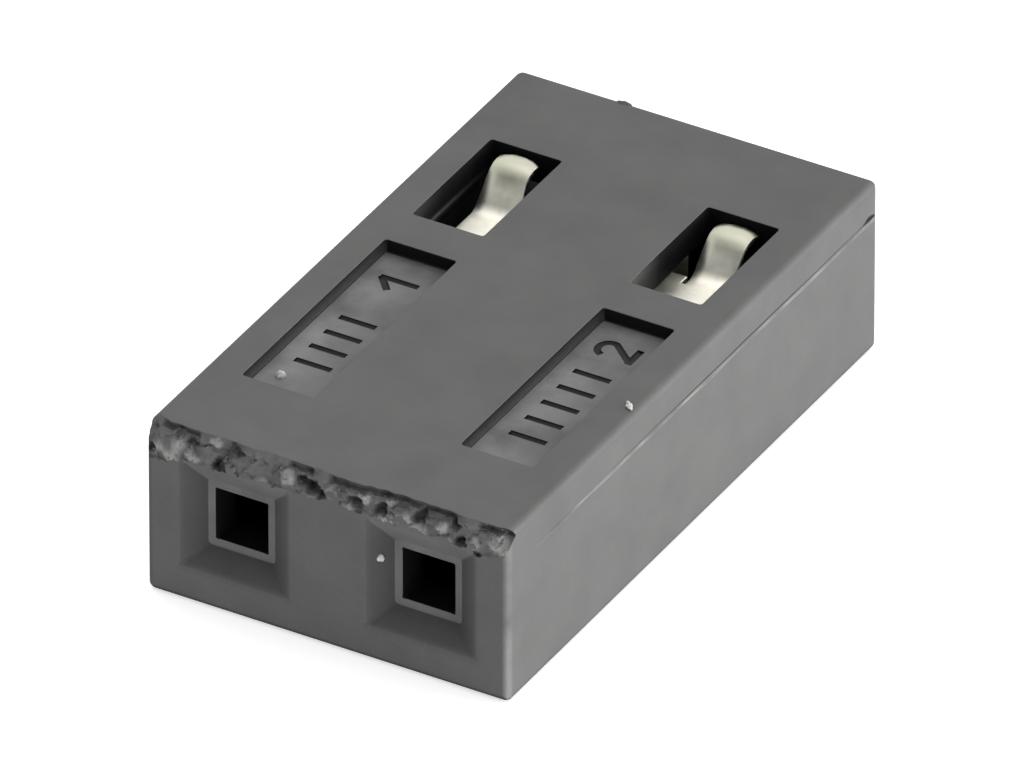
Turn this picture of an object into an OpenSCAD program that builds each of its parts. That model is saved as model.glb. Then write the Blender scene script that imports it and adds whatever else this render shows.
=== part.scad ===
// Two-position shunt: a moulded housing that slides over two square pins, with one stamped contact inside
// that joins them. Front (the pin entry) is at -Y, up is +Z, and the origin is at the middle of the base.

/* [Housing] */
// Width of the housing across the pins
body_w = 4.94; // [4.6:0.02:6.4]
// Length of the housing along the pins
body_l = 8.85; // [8.4:0.01:12]
// Height of the housing
body_h = 2.38; // [2.2:0.02:3.4]
// Radius of the outer edges
edge_r = 0.1; // [0.04:0.01:0.2]
// Thickness of the wall in front of the chambers
front_wall = 0.65; // [0.5:0.05:1]
// Thickness of the roof over the chambers
roof_t = 0.42; // [0.3:0.01:0.5]

/* [Pins] */
// Distance between the two pins
pin_pitch = 2.54; // [2.4:0.02:2.7]
// Side of a square pin
pin_size = 0.64; // [0.5:0.02:0.7]
// Depth of the pin axis below the top face
pin_drop = 1.14; // [1.1:0.02:1.24]
// Play round a pin in its entry hole, on each side
entry_play = 0.03; // [0.02:0.01:0.12]

/* [Pin funnels] */
// Width of a funnel's mouth
funnel_w = 1.52; // [1.2:0.02:2]
// Height of a funnel's mouth
funnel_h = 1.54; // [1.2:0.02:1.8]
// Depth of a funnel
funnel_d = 0.2; // [0.1:0.05:0.4]
// Width of the flat land round an entry hole
land_w = 0.09; // [0.03:0.01:0.15]

/* [Chambers] */
// Width of a contact chamber
chamber_w = 1.44; // [1.36:0.02:1.6]
// Radius in the corners of a chamber
chamber_r = 0.08; // [0.03:0.01:0.15]
// Play round the bridge in the slot that joins the chambers at the back
slot_play = 0.08; // [0.04:0.01:0.14]

/* [Roof windows and pads] */
// Distance between the two lanes of windows and pads
lane_pitch = 2.98; // [2.9:0.02:3.1]
// Width of a window and of a pad
lane_w = 0.98; // [0.8:0.02:1]
// Length of a window
window_l = 1.89; // [1.5:0.02:2.2]
// Distance from a window to the back face
window_back = 1.535; // [1.3:0.005:2]
// Distance between a window and the pad in front of it
pad_gap = 0.63; // [0.3:0.01:1]
// Length of a recessed pad
pad_l = 3.38; // [2.4:0.01:3.8]
// Depth of a recessed pad
pad_d = 0.2; // [0.05:0.01:0.25]

/* [Mould marks] */
// Depth of the seam line below the top face
seam_drop = 0.48; // [0.3:0.02:1]
// How far the seam line stands out of the side
seam_proud = 0.02; // [0.01:0.01:0.05]
// Place of the gate mark across the back edge
gate_x = -1.07; // [-1.8:0.01:1.8]
// Width of the gate mark
gate_w = 0.2; // [0.1:0.02:0.5]
// Radius of the gate mark
gate_r = 0.09; // [0.08:0.01:0.2]
// How far the gate mark stands out of the top and the back
gate_proud = 0.03; // [0.02:0.01:0.07]

/* [Torn front edge] */
// Mean height of the torn band along the top of the front face
torn_h = 0.38; // [0.2:0.02:0.6]
// Mean depth of the torn band
torn_d = 0.13; // [0.06:0.01:0.25]
// Height of the steep part of a break, under the top face
torn_wall = 0.06; // [0.02:0.01:0.1]
// Number of breaks along the band
torn_breaks = 28; // [8:1:40]

/* [Contact] */
// Thickness of the contact strip
strip_t = 0.15; // [0.1:0.01:0.2]
// Inside radius of the folds
fold_r = 0.1; // [0.05:0.01:0.15]
// Play between the contact and the side of its chamber
side_play = 0.04; // [0.02:0.01:0.08]
// Play between the contact and the roof
lift_play = 0.03; // [0.01:0.01:0.06]
// Distance from the front wall to the tips of the beams
tip_play = 1; // [0.4:0.05:1.2]
// Width of the beams and of the necks to the bridge
beam_w = 0.8; // [0.6:0.02:0.9]
// Slope of a beam
beam_angle = 11; // [8:1:18]
// Inside radius of a beam's bends
beam_r = 0.3; // [0.2:0.05:0.5]
// Gap between the two beams where they grip a pin
grip_gap = 0.5; // [0.4:0.02:0.6]
// Straight length at the tip of a beam
tip_l = 0.34; // [0.2:0.02:0.5]
// Slope of the tip
tip_angle = 28; // [15:1:40]
// Distance from the back face to the bridge
bridge_back = 0.3; // [0.1:0.05:0.5]
// Height of the bridge, which stands upright
bridge_h = 1.1; // [0.6:0.05:1.2]

/* [Locking tongue] */
// Width of a tongue
tongue_w = 0.48; // [0.4:0.02:0.6]
// Width of the slit beside a tongue
tongue_slit = 0.05; // [0.03:0.01:0.1]
// Distance from a tongue's root to its window
tongue_root = 0.3; // [0.1:0.05:0.6]
// Length of plate that is left beside a tongue, inside the window
shoulder_l = 0.92; // [0.6:0.02:1.3]
// Slope of a tongue
tongue_angle = 40; // [34:1:50]
// Inside radius of the bend at the foot of a tongue
foot_r = 0.19; // [0.08:0.01:0.25]
// Inside radius of a tongue's crest
crest_r = 0.31; // [0.15:0.01:0.4]
// Slope of the end of a tongue, behind its crest
tongue_end_angle = 26; // [15:1:40]
// Straight length behind the crest
tongue_end_l = 0.05; // [0.02:0.01:0.1]
// Depth of the crest below the top face
crest_drop = 0.05; // [0.02:0.01:0.12]
// Play between the end of a tongue and the back of its window
tongue_play = 0.06; // [0.03:0.01:0.15]

/* [Hidden] */
$fn = 96;

front_y = -body_l / 2;
back_y = body_l / 2;
pin_x = pin_pitch / 2;
pin_z = body_h - pin_drop;
lane_x = lane_pitch / 2;

// Chambers, with the contact standing on their floor and centred on the pins
contact_h = 2 * (pin_drop - roof_t - lift_play);
chamber_floor = pin_z - contact_h / 2;
chamber_top = body_h - roof_t;
chamber_front = front_y + front_wall;
entry_size = pin_size + 2 * entry_play;

// Windows and pads along the roof
window_end = back_y - window_back;
window_start = window_end - window_l;
pad_end = window_start - pad_gap;

// How far a cut runs past the face that it opens
past = 0.5;

// Contact strip: middle radii of its bends and the faces of a leg
mid_t = strip_t / 2;
fold_out = fold_r + strip_t;
beam_mid_r = beam_r + mid_t;
foot_mid_r = foot_r + mid_t;
crest_mid_r = crest_r + mid_t;
leg_inner = pin_x - chamber_w / 2 + side_play;
leg_outer = lane_x + tongue_w / 2;
leg_w = leg_outer - leg_inner;
plate_z = chamber_floor + contact_h - mid_t;

// Beam: it falls from the plate to the grip, then turns up to its tip
beam_fall = contact_h / 2 - strip_t - grip_gap / 2;
beam_run = (beam_fall - 2 * beam_mid_r * (1 - cos(beam_angle))) / sin(beam_angle);
beam_reach = 2 * beam_mid_r * sin(beam_angle) + beam_run * cos(beam_angle);
tip_reach = (beam_mid_r + mid_t) * sin(tip_angle) + tip_l * cos(tip_angle);
leg_front = chamber_front + tip_play + tip_reach + beam_reach;

// Tongue: it climbs from the plate to its crest, then turns down behind it
tongue_rise = body_h - crest_drop - mid_t - plate_z;
tongue_turn = (foot_mid_r + crest_mid_r) * (1 - cos(tongue_angle));
tongue_run = (tongue_rise - tongue_turn) / sin(tongue_angle);
tongue_climb = (foot_mid_r + crest_mid_r) * sin(tongue_angle) + tongue_run * cos(tongue_angle);
tongue_end = (crest_mid_r + mid_t) * sin(tongue_end_angle) + tongue_end_l * cos(tongue_end_angle);
tongue_start = window_start - tongue_root;
tongue_lead = window_end - tongue_play - tongue_end - tongue_climb - tongue_start;

// Bridge: it folds up from the floor of the chambers at the back
bridge_end = back_y - bridge_back;
bridge_foot = bridge_end - fold_out;

// Depths and heights of the breaks along the torn edge, as shares of their means
torn_depths = rands(0.6, 1.35, torn_breaks, 11);
torn_heights = rands(0.75, 1.25, torn_breaks, 5);

// A rectangle with round corners, centred
module round_rect(w, h, r) {
    square([w - 2 * r, h], center = true);
    square([w, h - 2 * r], center = true);
    for (sx = [-1, 1], sy = [-1, 1])
        translate([sx * (w / 2 - r), sy * (h / 2 - r)]) circle(r);
}

// Extrudes an outline drawn in X and Z along +Y, from y to y + length
module along_y(y, length) {
    translate([0, y + length, 0]) rotate([90, 0, 0]) linear_extrude(length) children();
}

// Extrudes an outline drawn in Y and Z along X, centred on x
module along_x(x, width) {
    translate([x - width / 2, 0, 0]) rotate([90, 0, 90]) linear_extrude(width) children();
}

// The part of a ring that a strip fills in a bend, starting at the origin along +X
module bend(angle, r) {
    side = sign(angle);
    mid = r + mid_t;
    reach = 2 * (r + strip_t);
    translate([0, side * mid]) intersection() {
        difference() {
            circle(r + strip_t);
            circle(r);
        }
        polygon(concat([[0, 0]], [for (k = [0:3]) side * reach * [sin(angle * k / 3), -cos(angle * k / 3)]]));
    }
}

// A bent strip seen on its edge: each step is a straight length, then a bend with its inside radius
module bent_strip(steps, i = 0) {
    length = steps[i][0];
    angle = steps[i][1];
    if (length > 0)
        translate([0, -mid_t]) square([length, strip_t]);
    if (i + 1 < len(steps)) {
        turn = sign(angle) * (steps[i][2] + mid_t);
        translate([length, 0]) {
            bend(angle, steps[i][2]);
            translate([0, turn]) rotate(angle) translate([0, -turn]) bent_strip(steps, i + 1);
        }
    }
}

// Block with all twelve edges rounded
module block() {
    intersection() {
        linear_extrude(body_h) round_rect(body_w, body_l, edge_r);
        along_y(front_y, body_l) translate([0, body_h / 2]) round_rect(body_w, body_h, edge_r);
        along_x(0, body_w) translate([0, body_h / 2]) round_rect(body_l, body_h, edge_r);
    }
}

// Seam line that the mould leaves along a side
module seam(side) {
    out = side * seam_proud;
    along_y(front_y + edge_r, body_l - 2 * edge_r)
        translate([side * body_w / 2, body_h - seam_drop])
            polygon([[-out, -2 * seam_proud], [out, 0], [-out, 2 * seam_proud]]);
}

// Stub of the mould's gate on the top back edge
module gate_mark() {
    sink = gate_r - gate_proud;
    along_x(gate_x, gate_w) translate([back_y - sink, body_h - sink]) circle(gate_r);
}

// Four-sided funnel that narrows along +Y from its mouth to the land round the entry hole
module funnel() {
    corners = [[-1, -1], [1, -1], [1, 1], [-1, 1]];
    mouth = [for (c = corners) [c.x * funnel_w / 2, 0, c.y * funnel_h / 2]];
    throat = [for (c = corners) [c.x * (entry_size / 2 + land_w), funnel_d, c.y * (entry_size / 2 + land_w)]];
    sides = [for (i = [0:3]) [i, (i + 1) % 4, (i + 1) % 4 + 4, i + 4]];
    polyhedron(concat(mouth, throat), concat([[3, 2, 1, 0], [4, 5, 6, 7]], sides));
}

// Pin entry: a funnel, then a square hole into the chamber
module pin_entry() {
    translate([0, front_y, pin_z]) funnel();
    along_y(front_y - past, past) translate([0, pin_z]) square([funnel_w, funnel_h], center = true);
    along_y(front_y, front_wall + past) translate([0, pin_z]) square(entry_size, center = true);
}

// Chamber for one leg of the contact, open at the back
module chamber() {
    height = chamber_top - chamber_floor;
    along_y(chamber_front, body_l) translate([0, chamber_floor + height / 2])
        round_rect(chamber_w, height, chamber_r);
}

// Window and pad of one lane
module lane() {
    translate([-lane_w / 2, window_start, chamber_top - chamber_r]) cube([lane_w, window_l, body_h]);
    translate([-lane_w / 2, pad_end - pad_l, body_h - pad_d]) cube([lane_w, pad_l, body_h]);
}

// Slot for the bridge, between the chambers
module bridge_slot() {
    translate([-pin_x, bridge_foot - slot_play, chamber_floor]) cube([pin_pitch, body_l, bridge_h + slot_play]);
}

// Space that the torn band leaves: a row of breaks, each with its own depth and height
module torn_band() {
    reach = body_w / 2 + past;
    step = 2 * reach / torn_breaks;
    for (i = [0:torn_breaks - 1]) {
        back = front_y + torn_d * torn_depths[i];
        along_x((i + 0.5) * step - reach, step) polygon([
            [front_y - past, body_h - torn_h * torn_heights[i]],
            [front_y, body_h - torn_h * torn_heights[i]],
            [back, body_h - torn_wall],
            [back, body_h + past],
            [front_y - past, body_h + past]
        ]);
    }
}

module housing() {
    color("#4b4b4c") difference() {
        union() {
            block();
            seam(-1);
            seam(1);
            gate_mark();
        }
        for (side = [-1, 1]) {
            translate([side * pin_x, 0, 0]) pin_entry();
            translate([side * pin_x, 0, 0]) chamber();
            translate([side * lane_x, 0, 0]) lane();
        }
        bridge_slot();
        torn_band();
    }
}

// Folded part of a leg: floor, inner wall and top plate, with room for the tongue cut out of the plate
module leg_channel() {
    slit_x = leg_outer - tongue_w - tongue_slit;
    shoulder_y = window_start + shoulder_l;
    difference() {
        along_y(leg_front, window_end - leg_front) translate([leg_outer, chamber_floor + mid_t]) mirror([1, 0])
            bent_strip([
                [leg_w - fold_out, 90, fold_r],
                [contact_h - 2 * fold_out, 90, fold_r],
                [leg_w - fold_out, 0]
            ]);
        translate([slit_x, tongue_start, pin_z]) cube([leg_w, body_l, contact_h]);
        translate([pin_x - beam_w / 2, shoulder_y, pin_z]) cube([leg_w, body_l, contact_h]);
    }
}

// One beam, from the top plate forward and down to the pin
module beam() {
    along_x(pin_x, beam_w) translate([leg_front, plate_z]) mirror([1, 0])
        bent_strip([
            [0, -beam_angle, beam_r],
            [beam_run, beam_angle + tip_angle, beam_r],
            [tip_l, 0]
        ]);
}

// Tongue that rises into the window and locks behind it
module tongue() {
    along_x(leg_outer - tongue_w / 2, tongue_w) translate([tongue_start, plate_z])
        bent_strip([
            [tongue_lead, tongue_angle, foot_r],
            [tongue_run, -tongue_angle - tongue_end_angle, crest_r],
            [tongue_end_l, 0]
        ]);
}

// One leg of the contact, with the neck that carries it to the bridge
module leg() {
    neck_l = bridge_foot - window_end;
    leg_channel();
    tongue();
    beam();
    translate([0, 0, 2 * pin_z]) mirror([0, 0, 1]) beam();
    translate([pin_x - beam_w / 2, window_end, chamber_floor]) cube([beam_w, neck_l, strip_t]);
}

// Upright bridge that joins the two legs at the back
module bridge() {
    along_x(0, 2 * leg_outer) translate([bridge_foot, chamber_floor + mid_t])
        bent_strip([[0, 90, fold_r], [bridge_h - fold_out, 0]]);
}

module shorting_contact() {
    color("#d9d3c0") {
        leg();
        mirror([1, 0, 0]) leg();
        bridge();
    }
}

housing();
shorting_contact();
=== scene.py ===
import math

import bmesh
import bpy
from mathutils import Matrix, Vector, noise


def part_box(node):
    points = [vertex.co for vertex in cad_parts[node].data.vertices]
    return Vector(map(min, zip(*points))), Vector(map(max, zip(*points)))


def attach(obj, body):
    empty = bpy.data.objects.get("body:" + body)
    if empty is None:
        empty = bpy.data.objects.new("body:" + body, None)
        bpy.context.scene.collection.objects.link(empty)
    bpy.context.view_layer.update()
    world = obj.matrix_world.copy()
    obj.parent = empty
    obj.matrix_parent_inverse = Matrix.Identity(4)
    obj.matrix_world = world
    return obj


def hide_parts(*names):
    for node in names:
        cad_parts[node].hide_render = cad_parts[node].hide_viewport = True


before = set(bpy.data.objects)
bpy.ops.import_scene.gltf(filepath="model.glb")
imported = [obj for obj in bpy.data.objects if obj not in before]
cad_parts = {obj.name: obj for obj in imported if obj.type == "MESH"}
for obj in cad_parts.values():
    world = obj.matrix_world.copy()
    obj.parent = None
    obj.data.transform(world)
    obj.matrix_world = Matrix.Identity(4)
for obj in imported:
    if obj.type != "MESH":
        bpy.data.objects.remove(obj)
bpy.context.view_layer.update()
print("frame loaded:", sorted(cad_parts))

# Meshes are modelled in millimetres and brought to metres as the last step
mm = 0.001
mergeDistance = 1e-5
sides = (-1, 1)
scene = bpy.context.scene
noise.seed_set(11)  # without a fixed seed, noise vectors differ from run to run


# Merges doubled points and turns the faces outwards
def cleanMesh(mesh):
    bm = bmesh.new()
    bm.from_mesh(mesh)
    bmesh.ops.remove_doubles(bm, verts=bm.verts, dist=mergeDistance)
    bmesh.ops.recalc_face_normals(bm, faces=bm.faces)
    bm.to_mesh(mesh)
    bm.free()


def makeMesh(name, points, faces):
    mesh = bpy.data.meshes.new(name)
    mesh.from_pydata([tuple(p) for p in points], [], faces)
    cleanMesh(mesh)
    return mesh


def makeObject(name, data, material=None):
    made = bpy.data.objects.new(name, data)
    scene.collection.objects.link(made)
    if material:
        data.materials.append(material)
    return made


# Closed solid through a row of loops that have the same number of points
def loft(name, loops):
    count = len(loops[0])
    points = [p for loop in loops for p in loop]
    faces = [tuple(range(count)), tuple(range(len(points) - count, len(points)))]
    for row in range(len(loops) - 1):
        first = row * count
        for i in range(count):
            j = (i + 1) % count
            faces.append((first + i, first + j, first + count + j, first + count + i))
    return makeMesh(name, points, faces)


# Eased step from 0 to 1 between two values
def ramp(value, low, high):
    t = min(max((value - low) / (high - low), 0.0), 1.0)
    return t * t * (3 - 2 * t)


def roundRect(width, height, radius, steps=4):
    points = []
    for sx, sy, start in ((1, 1, 0), (-1, 1, 90), (-1, -1, 180), (1, -1, 270)):
        for k in range(steps + 1):
            a = math.radians(start + 90 * k / steps)
            points.append((sx * (width / 2 - radius) + radius * math.cos(a),
                           sy * (height / 2 - radius) + radius * math.sin(a)))
    return points


# Polyline whose corners are eased over the given lengths
def easedPath(points, cuts, steps=5):
    corners = [Vector(p) for p in points]
    path = [corners[0]]
    for before, corner, after, cut in zip(corners, corners[1:], corners[2:], cuts):
        start = corner + (before - corner).normalized() * cut
        end = corner + (after - corner).normalized() * cut
        for k in range(steps + 1):
            t = k / steps
            path.append(start.lerp(corner, t).lerp(corner.lerp(end, t), t))
    path.append(corners[-1])
    return path


# Replaces an object's mesh by what its modifiers make of it
def settle(target):
    bpy.context.view_layer.update()
    deps = bpy.context.evaluated_depsgraph_get()
    mesh = bpy.data.meshes.new_from_object(target.evaluated_get(deps), depsgraph=deps)
    if target.type != "MESH":
        made = makeObject(target.name + ".mesh", mesh)
        bpy.data.objects.remove(target)
        return made
    target.modifiers.clear()
    target.data = mesh
    return target


def combine(target, parts, operation):
    group = bpy.data.collections.new(operation.lower())
    scene.collection.children.link(group)
    for part in parts:
        group.objects.link(part)
    modifier = target.modifiers.new(operation.lower(), "BOOLEAN")
    modifier.operation = operation
    modifier.solver = "EXACT"
    modifier.operand_type = "COLLECTION"
    modifier.collection = group
    modifier.material_mode = "TRANSFER"
    settle(target)
    for part in parts:
        bpy.data.objects.remove(part)
    bpy.data.collections.remove(group)


def smooth(target, angle):
    target.data.shade_smooth()
    target.data.set_sharp_from_angle(angle=math.radians(angle))
    weighted = target.modifiers.new("weighted normals", "WEIGHTED_NORMAL")
    weighted.keep_sharp = True
    settle(target)


def handIn(target, node=None):
    target.data.transform(Matrix.Scale(mm, 4))
    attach(target, "root")
    if node:
        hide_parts(node)


# Links or sets a node's inputs, which are given by name or by number
def feed(tree, node, inputs):
    for name, value in inputs.items():
        if isinstance(value, bpy.types.NodeSocket):
            tree.links.new(value, node.inputs[name])
        else:
            node.inputs[name].default_value = value


def addNode(tree, kind, inputs=None, **settings):
    made = tree.nodes.new(kind)
    for name, value in settings.items():
        setattr(made, name, value)
    feed(tree, made, inputs or {})
    return made


def calculate(tree, operation, *values):
    return addNode(tree, "ShaderNodeMath", dict(enumerate(values)), operation=operation).outputs[0]


def remap(tree, value, low, high, toLow, toHigh, easing="LINEAR"):
    made = addNode(tree, "ShaderNodeMapRange", {
        "Value": value, "From Min": low, "From Max": high, "To Min": toLow, "To Max": toHigh},
        interpolation_type=easing)
    return made.outputs["Result"]


def newMaterial(name):
    material = bpy.data.materials.new(name)
    material.use_nodes = True
    tree = material.node_tree
    shader = tree.nodes["Principled BSDF"]
    place = addNode(tree, "ShaderNodeTexCoord").outputs["Object"]
    return material, tree, shader, place


def grainNoise(tree, place, size, detail=3.0, roughness=0.55):
    made = addNode(tree, "ShaderNodeTexNoise", {
        "Vector": place, "Scale": 1 / (size * mm), "Detail": detail, "Roughness": roughness})
    return made.outputs["Fac"]


# In a Mix node for colours, socket 0 is the factor, 6 and 7 are the colours and output 2 is the result
def mixColour(tree, factor, first, second):
    return addNode(tree, "ShaderNodeMix", {0: factor, 6: first, 7: second}, data_type="RGBA").outputs[2]


def storedValue(tree, name):
    return addNode(tree, "ShaderNodeAttribute", attribute_name=name).outputs["Fac"]


def bumped(tree, height, strength, distance):
    made = addNode(tree, "ShaderNodeBump", {
        "Height": height, "Strength": strength, "Distance": distance * mm})
    return made.outputs["Normal"]


def grey(level, warm=0.0):
    return (level * (1 + warm), level, level * (1 - warm), 1.0)


# Geometry Nodes tree with its named inputs, given as names and kinds, and what its input node puts out
def newTree(name, inputs):
    group = bpy.data.node_groups.new(name, "GeometryNodeTree")
    for label, kind in (("Geometry", "Geometry"), *inputs.items(), ("Material", "Material")):
        group.interface.new_socket(label, in_out="INPUT", socket_type="NodeSocket" + kind)
    group.interface.new_socket("Geometry", in_out="OUTPUT", socket_type="NodeSocketGeometry")
    return group, addNode(group, "NodeGroupInput").outputs


def realised(group, geometry):
    return addNode(group, "GeometryNodeRealizeInstances", {"Geometry": geometry}).outputs["Geometry"]


def endTree(group, geometry, material):
    painted = addNode(group, "GeometryNodeSetMaterial", {"Geometry": geometry, "Material": material})
    addNode(group, "NodeGroupOutput", {"Geometry": painted.outputs["Geometry"]})
    return group


def addTree(target, group, values):
    modifier = target.modifiers.new(group.name, "NODES")
    modifier.node_group = group
    for item in group.interface.items_tree:
        if item.in_out == "INPUT" and item.name in values:
            modifier[item.identifier] = values[item.name]


plasticLook = {
    "dark": grey(0.08, 0.008),
    "light": grey(0.097, 0.01),
    # Dark tone for the painted shade in recesses
    "paintedShade": grey(0.008, -0.05),
    # Pale tone for worn edges, painted highlights and painted light
    "wornAndLit": grey(0.23, 0.008),
    "patchSize": 0.7,
    "patchDetail": 5.0,
    "patchSpan": (0.3, 0.7),
    "grainSize": 0.045,
    "grainDetail": 4.0,
    "grainRoughness": 0.65,
    "grainSpan": (0.25, 0.75),
    "grainTone": (0.9, 1.1),
    "paleSpan": (0.3, 0.65),
    "paleShare": (0.15, 1.0),
    "roughSpan": (0.3, 0.7),
    "roughness": (0.5, 0.66),
    "specular": 0.26,
    "bump": 0.3,
    "bumpHeight": 0.004,
}


def mouldedPlastic():
    look = plasticLook
    material, tree, shader, place = newMaterial("moulded_plastic")
    patches = grainNoise(tree, place, look["patchSize"], look["patchDetail"])
    grain = grainNoise(tree, place, look["grainSize"], look["grainDetail"], look["grainRoughness"])
    colour = mixColour(tree, remap(tree, patches, *look["patchSpan"], 0, 1), look["dark"], look["light"])
    value = remap(tree, grain, *look["grainSpan"], *look["grainTone"])
    tone = addNode(tree, "ShaderNodeHueSaturation", {"Color": colour, "Value": value}).outputs["Color"]
    # Edges and some faces are paler, partly from wear and partly as painted highlight and painted light, and
    # recesses get painted shade that also takes away their specular reflection
    toneShift = calculate(tree, "MULTIPLY", storedValue(tree, "wearAndPaintedLight"),
                       remap(tree, patches, *look["paleSpan"], *look["paleShare"]))
    tone = mixColour(tree, toneShift, tone, look["wornAndLit"])
    paintedShade = storedValue(tree, "paintedShade")
    feed(tree, shader, {
        "Base Color": mixColour(tree, paintedShade, tone, look["paintedShade"]),
        "Roughness": remap(tree, grain, *look["roughSpan"], *look["roughness"]),
        "Specular IOR Level": remap(tree, paintedShade, 0, 1, look["specular"], 0),
        "Normal": bumped(tree, grain, look["bump"], look["bumpHeight"])})
    return material


tornLook = {
    "deep": grey(0.05, -0.01),
    "body": grey(0.105, 0.01),
    "whitened": grey(0.3, 0.012),
    "fibreSize": 0.09,
    "fibreDetail": 5.0,
    "fibreRoughness": 0.7,
    "blotchSize": 0.27,
    "blotchSpan": (0.32, 0.55),
    "freshSpan": (0.34, 0.64),
    "freshShare": (0.5, 1.0),
    "roughness": 0.72,
    "specular": 0.35,
    "bump": 0.5,
    "bumpHeight": 0.01,
}


def tornPlastic():
    look = tornLook
    material, tree, shader, place = newMaterial("torn_plastic")
    fibres = grainNoise(tree, place, look["fibreSize"], look["fibreDetail"], look["fibreRoughness"])
    blotches = grainNoise(tree, place, look["blotchSize"])
    colour = mixColour(tree, remap(tree, blotches, *look["blotchSpan"], 0, 1), look["deep"], look["body"])
    # Fresh breaks are whitened, most of all where the grain stands up
    pale = calculate(tree, "MULTIPLY", storedValue(tree, "fresh"),
                     remap(tree, fibres, *look["freshSpan"], *look["freshShare"]))
    colour = mixColour(tree, pale, colour, look["whitened"])
    # Pits and the crack under the rim are darkened with painted shade
    feed(tree, shader, {
        "Base Color": mixColour(tree, storedValue(tree, "paintedShade"), colour, plasticLook["paintedShade"]),
        "Roughness": look["roughness"],
        "Specular IOR Level": look["specular"],
        "Normal": bumped(tree, fibres, look["bump"], look["bumpHeight"])})
    return material


# The crests are darker between two heights, and the bridge is handled between two places along Y, in mm
tinLook = {
    "bright": (0.82, 0.805, 0.69, 1.0),
    "dull": (0.64, 0.62, 0.56, 1.0),
    "toneShift": (0.41, 0.41, 0.325, 1.0),
    "darkerFrom": 2.14,
    "darkerTo": 2.3,
    "darkerMost": 0.85,
    "handled": (0.34, 0.33, 0.3, 1.0),
    "handledFrom": 3.4,
    "handledTo": 4.0,
    "handledSpan": (0.3, 0.7),
    "handledShare": (0.78, 1.0),
    "patchSize": 0.22,
    "patchDetail": 4.0,
    "patchRoughness": 0.6,
    "dullSpan": (0.3, 0.66),
    "drawnOut": (1.0, 0.12, 1.0),
    "scratchSize": 0.02,
    "scratchDetail": 3.0,
    "scratchRoughness": 0.6,
    "roughSpan": (0.3, 0.7),
    "roughness": (0.3, 0.44),
    "bump": 0.12,
    "bumpHeight": 0.002,
}


def tinnedStrip():
    look = tinLook
    material, tree, shader, place = newMaterial("tinned_strip")
    patches = grainNoise(tree, place, look["patchSize"], look["patchDetail"], look["patchRoughness"])
    drawn = addNode(tree, "ShaderNodeMapping", {"Vector": place, "Scale": look["drawnOut"]}).outputs["Vector"]
    scratches = grainNoise(tree, drawn, look["scratchSize"], look["scratchDetail"], look["scratchRoughness"])
    colour = mixColour(tree, remap(tree, patches, *look["dullSpan"], 1, 0), look["bright"], look["dull"])
    # Crests are darker between two heights, and the bridge at the back is dull from handling
    axes = addNode(tree, "ShaderNodeSeparateXYZ", {"Vector": place}).outputs
    toneShift = remap(tree, axes["Z"], look["darkerFrom"] * mm, look["darkerTo"] * mm, 0, look["darkerMost"])
    colour = mixColour(tree, toneShift, colour, look["toneShift"])
    behind = remap(tree, axes["Y"], look["handledFrom"] * mm, look["handledTo"] * mm, 0, 1)
    handled = calculate(tree, "MULTIPLY", behind,
                        remap(tree, patches, *look["handledSpan"], *look["handledShare"]))
    feed(tree, shader, {
        "Base Color": mixColour(tree, handled, colour, look["handled"]),
        "Metallic": 1.0,
        "Roughness": remap(tree, patches, *look["roughSpan"], *look["roughness"]),
        "Normal": bumped(tree, scratches, look["bump"], look["bumpHeight"])})
    return material


chipLook = {"darker": tornLook["body"], "paler": grey(0.24, 0.01), "size": 0.09, "span": (0.35, 0.65)}
dustLook = {"darker": grey(0.36, 0.02), "paler": grey(0.6, 0.02), "size": 0.04, "span": (0.35, 0.65)}


def paleGrains(name, look):
    material, tree, shader, place = newMaterial(name)
    tone = remap(tree, grainNoise(tree, place, look["size"]), *look["span"], 0, 1)
    feed(tree, shader, {
        "Base Color": mixColour(tree, tone, look["darker"], look["paler"]),
        "Roughness": tornLook["roughness"]})
    return material


plastic = mouldedPlastic()
torn = tornPlastic()
chip = paleGrains("pale_chip", chipLook)
dust = paleGrains("pale_dust", dustLook)
tin = tinnedStrip()
print("materials made:", [m.name for m in (plastic, torn, chip, dust, tin)])


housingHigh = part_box("housing")[1] / mm

housing = {
    "edgeRadius": 0.1,
    "edgeSegments": 6,
    "seamProud": 0.02,
    "seamDrop": 0.46,
    "gateProud": 0.03,
    "pinPitch": 2.54,
    "pinDrop": 1.14,
    "entrySide": 0.7,
    "entryCorner": 0.05,
    "entryEases": (0.02, 0.03, 0.08, 0.0),
    "funnelWidth": 1.52,
    "funnelHeight": 1.54,
    "funnelDepth": 0.2,
    "land": 0.09,
    "frontWall": 0.65,
    "roof": 0.42,
    "chamberWidth": 1.44,
    "chamberHeight": 1.41,
    "chamberCorner": 0.08,
    "slotFront": 0.63,
    "slotHeight": 1.18,
    "slotCorner": 0.01,
    "leadIn": 0.05,
    "lanePitch": 2.98,
    "laneWidth": 0.98,
    "laneCorner": 0.04,
    "windowLength": 1.89,
    "windowBack": 1.535,
    "padGap": 0.63,
    "padLength": 3.38,
    "padDepth": 0.175,
    "padEase": 0.03,
    "rim": 0.012,
    "smoothAngle": 34,
}

halfWidth = housingHigh.x - housing["seamProud"]
backY = housingHigh.y - housing["gateProud"]
frontY = -backY
topZ = housingHigh.z - housing["gateProud"]
halfSpan = Vector((halfWidth, backY, topZ / 2))
pinX = housing["pinPitch"] / 2
pinZ = topZ - housing["pinDrop"]
laneX = housing["lanePitch"] / 2
chamberTop = topZ - housing["roof"]
chamberFloor = chamberTop - housing["chamberHeight"]
windowEnd = backY - housing["windowBack"]
windowStart = windowEnd - housing["windowLength"]
padEnd = windowStart - housing["padGap"]
padStart = padEnd - housing["padLength"]
padFloor = topZ - housing["padDepth"]


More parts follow.
